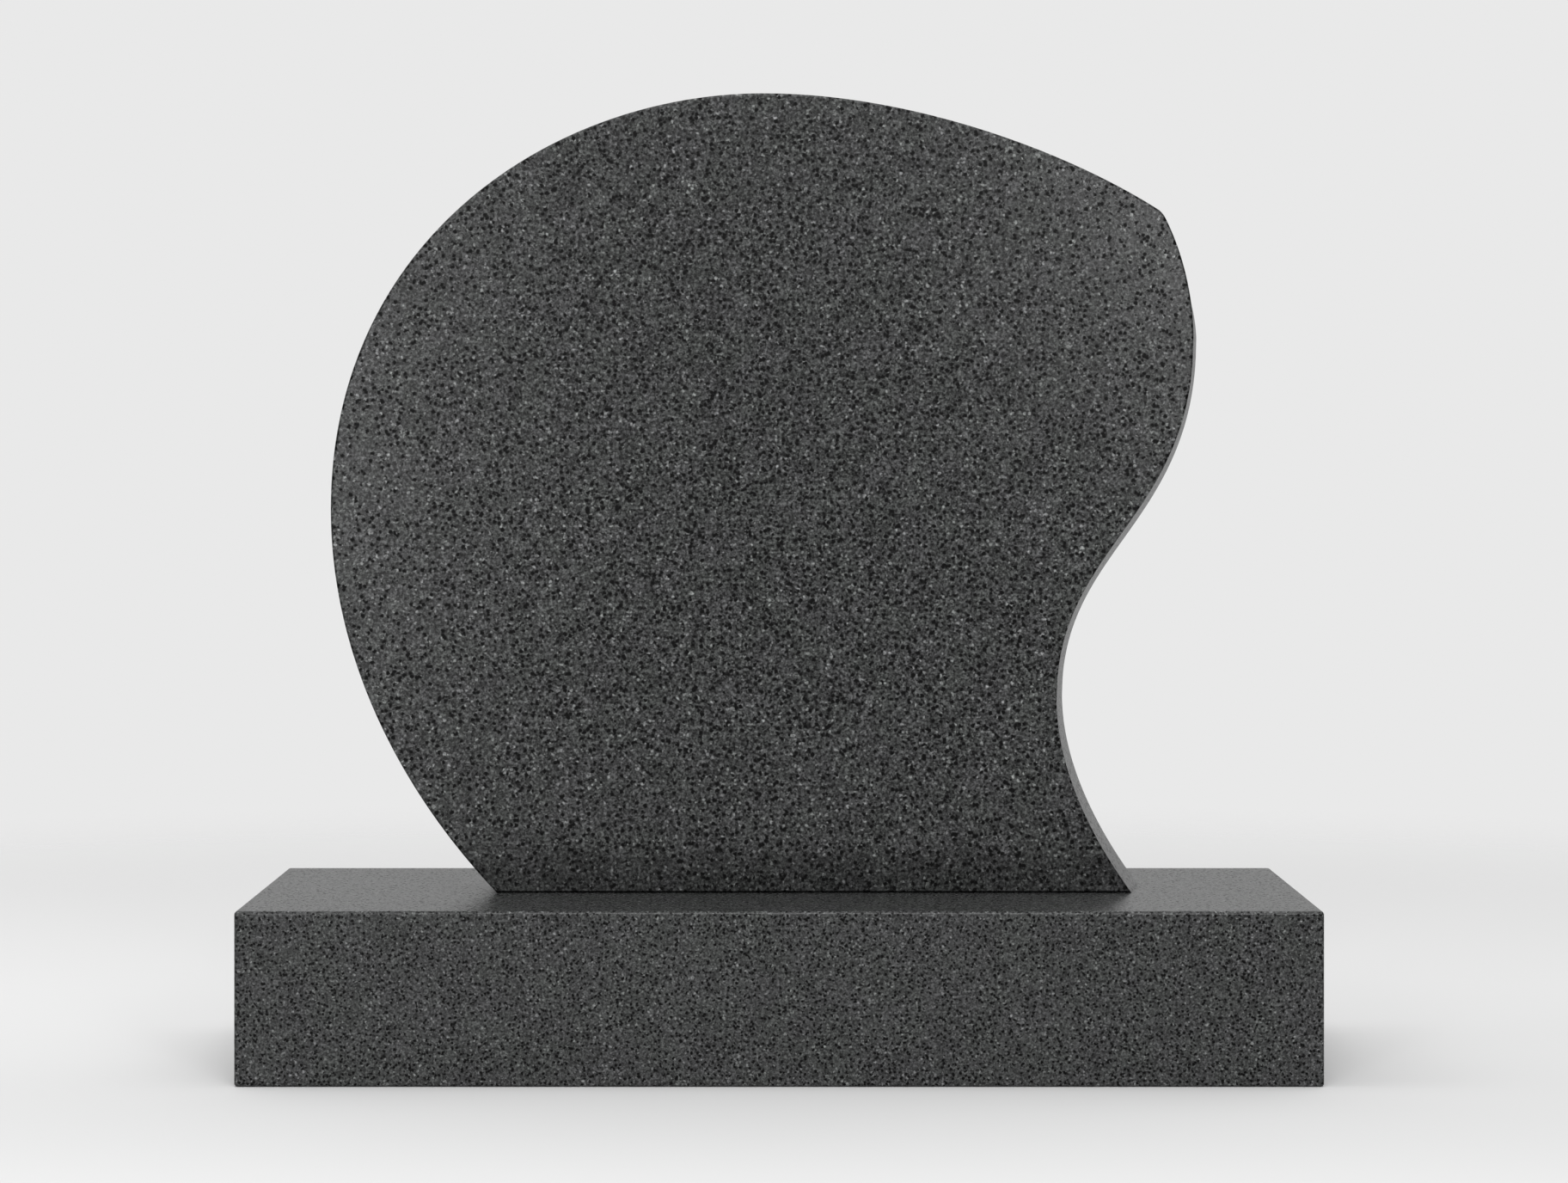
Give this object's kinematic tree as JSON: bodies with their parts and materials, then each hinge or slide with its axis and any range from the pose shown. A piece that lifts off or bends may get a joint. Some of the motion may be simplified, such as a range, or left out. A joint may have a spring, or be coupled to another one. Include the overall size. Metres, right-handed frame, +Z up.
{
  "type": "headstone",
  "caption": "Upright dark granite headstone: a flat tablet with a domed crown and an S-shaped right flank, standing on a rectangular block base.",
  "frame": {"origin": "centre of the base's underside, where the stone rests", "axes": "+X to the right of someone facing the front, +Y from the front to the back, +Z up"},
  "size_m": [0.9, 0.35, 0.834],
  "materials": {
    "granite_base": "satin polished dark speckled granite",
    "granite_tablet": "satin polished dark speckled granite"
  },
  "bodies": {
    "root": {"base": "granite_base", "tablet": "granite_tablet"}
  },
  "joints": []
}
